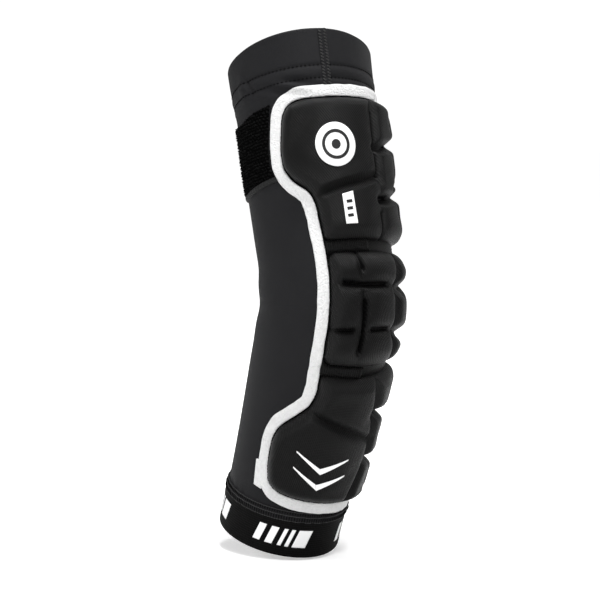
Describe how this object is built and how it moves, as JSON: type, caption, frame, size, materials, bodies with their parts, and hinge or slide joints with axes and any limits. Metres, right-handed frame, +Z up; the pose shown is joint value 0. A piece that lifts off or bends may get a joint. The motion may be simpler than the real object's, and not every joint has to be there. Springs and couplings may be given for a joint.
{
  "type": "padded forearm and elbow guard",
  "caption": "Pre-bent knitted arm sleeve with a quilted foam pad in hinged sections over the elbow and forearm, taped edge, closing strap and gripping cuffs.",
  "frame": {"origin": "centre of the elbow on the sleeve's centreline, midway between the two flex lines", "axes": "+Z up the arm, +X out of the elbow tip on the padded side, -Y to the lateral side that carries the badge; the upper arm and the forearm both lean 16 degrees towards -X"},
  "size_m": [0.1347, 0.0989, 0.3448],
  "materials": {
    "sleeve_knit": "smooth close knit, matt",
    "pad_knit": "fine knit with a soft sheen",
    "foam": "closed-cell foam, matt",
    "tape_white": "white bonded tape, faint grain",
    "loop_pile": "dotted loop pile",
    "webbing": "woven binding",
    "hooks": "fine hooks",
    "elastic": "ribbed woven elastic",
    "silicone": "satin silicone",
    "thread": "sewing thread",
    "print_white": "satin raised print",
    "label_white": "plain satin label"
  },
  "bodies": {
    "upper_arm": {"sleeve_upper": "sleeve_knit", "top_cuff_hem": "sleeve_knit", "top_hem_stitching": "thread", "closing_seam": "thread", "top_gripper": "silicone", "upper_pad_cover": "pad_knit", "upper_pad_foam": "foam", "upper_pad_backing": "sleeve_knit", "tape_upper": "tape_white", "badge_disc": "print_white", "side_tag": "print_white", "strap_loop_pile": "loop_pile", "strap_binding": "webbing", "tab_root_seam": "webbing", "care_label": "label_white"},
    "elbow": {"sleeve_elbow": "sleeve_knit", "flex_zone_upper": "sleeve_knit", "flex_zone_lower": "sleeve_knit", "elbow_pad_cover": "pad_knit", "elbow_pad_foam": "foam", "elbow_pad_backing": "sleeve_knit", "tape_elbow": "tape_white", "tape_bridge_upper": "tape_white", "tape_bridge_lower": "tape_white", "seam_strip_upper": "thread", "seam_strip_lower": "thread"},
    "forearm": {"sleeve_forearm": "sleeve_knit", "forearm_pad_cover": "pad_knit", "forearm_pad_foam": "foam", "forearm_pad_backing": "sleeve_knit", "tape_forearm": "tape_white", "chevron_prints": "print_white", "cuff_ladder_seam": "thread", "cuff_elastic_band": "elastic", "cuff_gripper": "silicone"},
    "strap_tab": {"strap_tab": "webbing", "tab_hook_patch": "hooks"}
  },
  "joints": [
    {"name": "upper_flex", "type": "hinge", "parent": "upper_arm", "child": "elbow", "pos_m": [0.01136, 0, 0.03304], "axis": [0, 1, 0], "range_deg": [-12, 42.5], "deforming": ["flex_zone_upper", "tape_bridge_upper", "seam_strip_upper"]},
    {"name": "lower_flex", "type": "hinge", "parent": "elbow", "child": "forearm", "pos_m": [0.01136, 0, -0.03304], "axis": [0, 1, 0], "range_deg": [-12, 42.5], "deforming": ["flex_zone_lower", "tape_bridge_lower", "seam_strip_lower"]},
    {"name": "tab_peel", "type": "hinge", "parent": "upper_arm", "child": "strap_tab", "pos_m": [-0.01123, 0.04813, 0.0973], "axis": [0.2756, 0, -0.9613], "range_deg": [0, 100]}
  ],
  "couplings": [
    {"joint": "lower_flex", "follows": "upper_flex", "ratio": 1}
  ]
}
